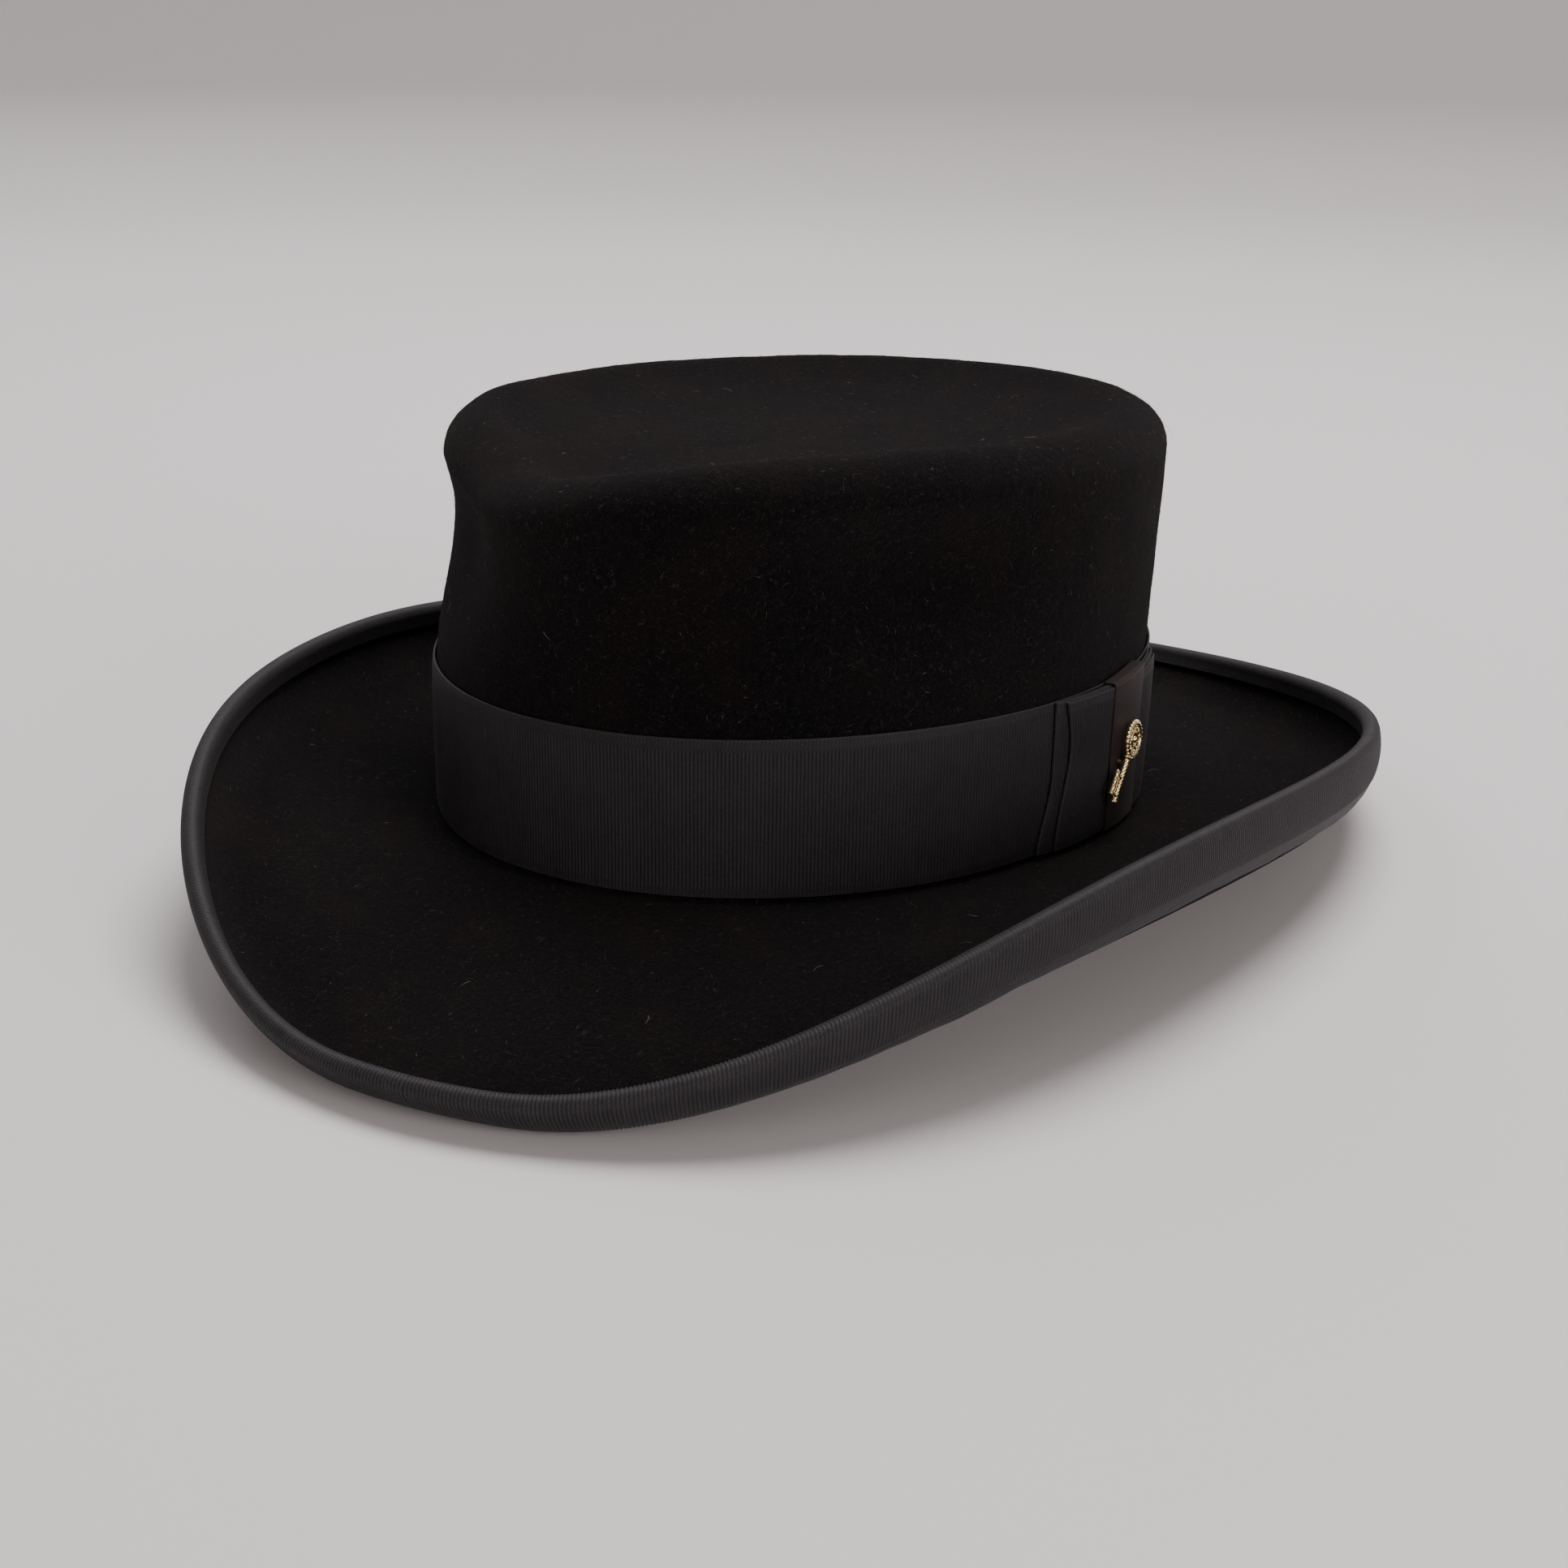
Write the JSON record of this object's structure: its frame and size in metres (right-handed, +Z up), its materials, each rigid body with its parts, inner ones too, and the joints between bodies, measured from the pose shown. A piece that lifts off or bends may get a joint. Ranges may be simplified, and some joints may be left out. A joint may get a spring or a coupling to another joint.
{
  "type": "top hat",
  "caption": "Low-crowned black felt top hat with a curled, bound brim, a ribbed ribbon band with a flat side bow, and a gilt key ornament that turns on its post",
  "frame": {"origin": "centre of the footprint on the shelf that the brim rests on", "axes": "+Z up; the wearer faces -Y; +X is the wearer's left, the side with the bow; +Y runs front to back, the longest way; the crown leans back 3 degrees and 1 degree toward the wearer's right, as the hat does when its uneven brim rests front and back"},
  "size_m": [0.284, 0.3672, 0.1176],
  "materials": {
    "felt": "matte fur felt with a soft nap",
    "grosgrain": "ribbed ribbon with a low sheen",
    "leather": "smooth roan leather, satin",
    "reed": "fine woven tape over a cord",
    "satin": "glossy satin weave",
    "gilt": "polished gilt, darkened in the hollows"
  },
  "bodies": {
    "hat": {"felt_body": "felt", "brim_binding": "grosgrain", "crown_ribbon": "grosgrain", "bow_under_loop": "grosgrain", "bow_top_loop": "grosgrain", "bow_knot": "grosgrain", "sweatband": "leather", "sweatband_reed": "reed", "sweatband_bow": "satin", "lining_side": "satin", "lining_piping": "satin", "lining_tip": "satin"},
    "pin": {"pin_ornament": "gilt", "pin_post": "gilt", "pin_clutch": "gilt"}
  },
  "joints": [
    {"name": "pin_turn", "type": "hinge", "parent": "hat", "child": "pin", "pos_m": [0.08435, -0.00732, 0.03578], "axis": [0.9961, -0.085, 0.0244], "continuous": true}
  ]
}
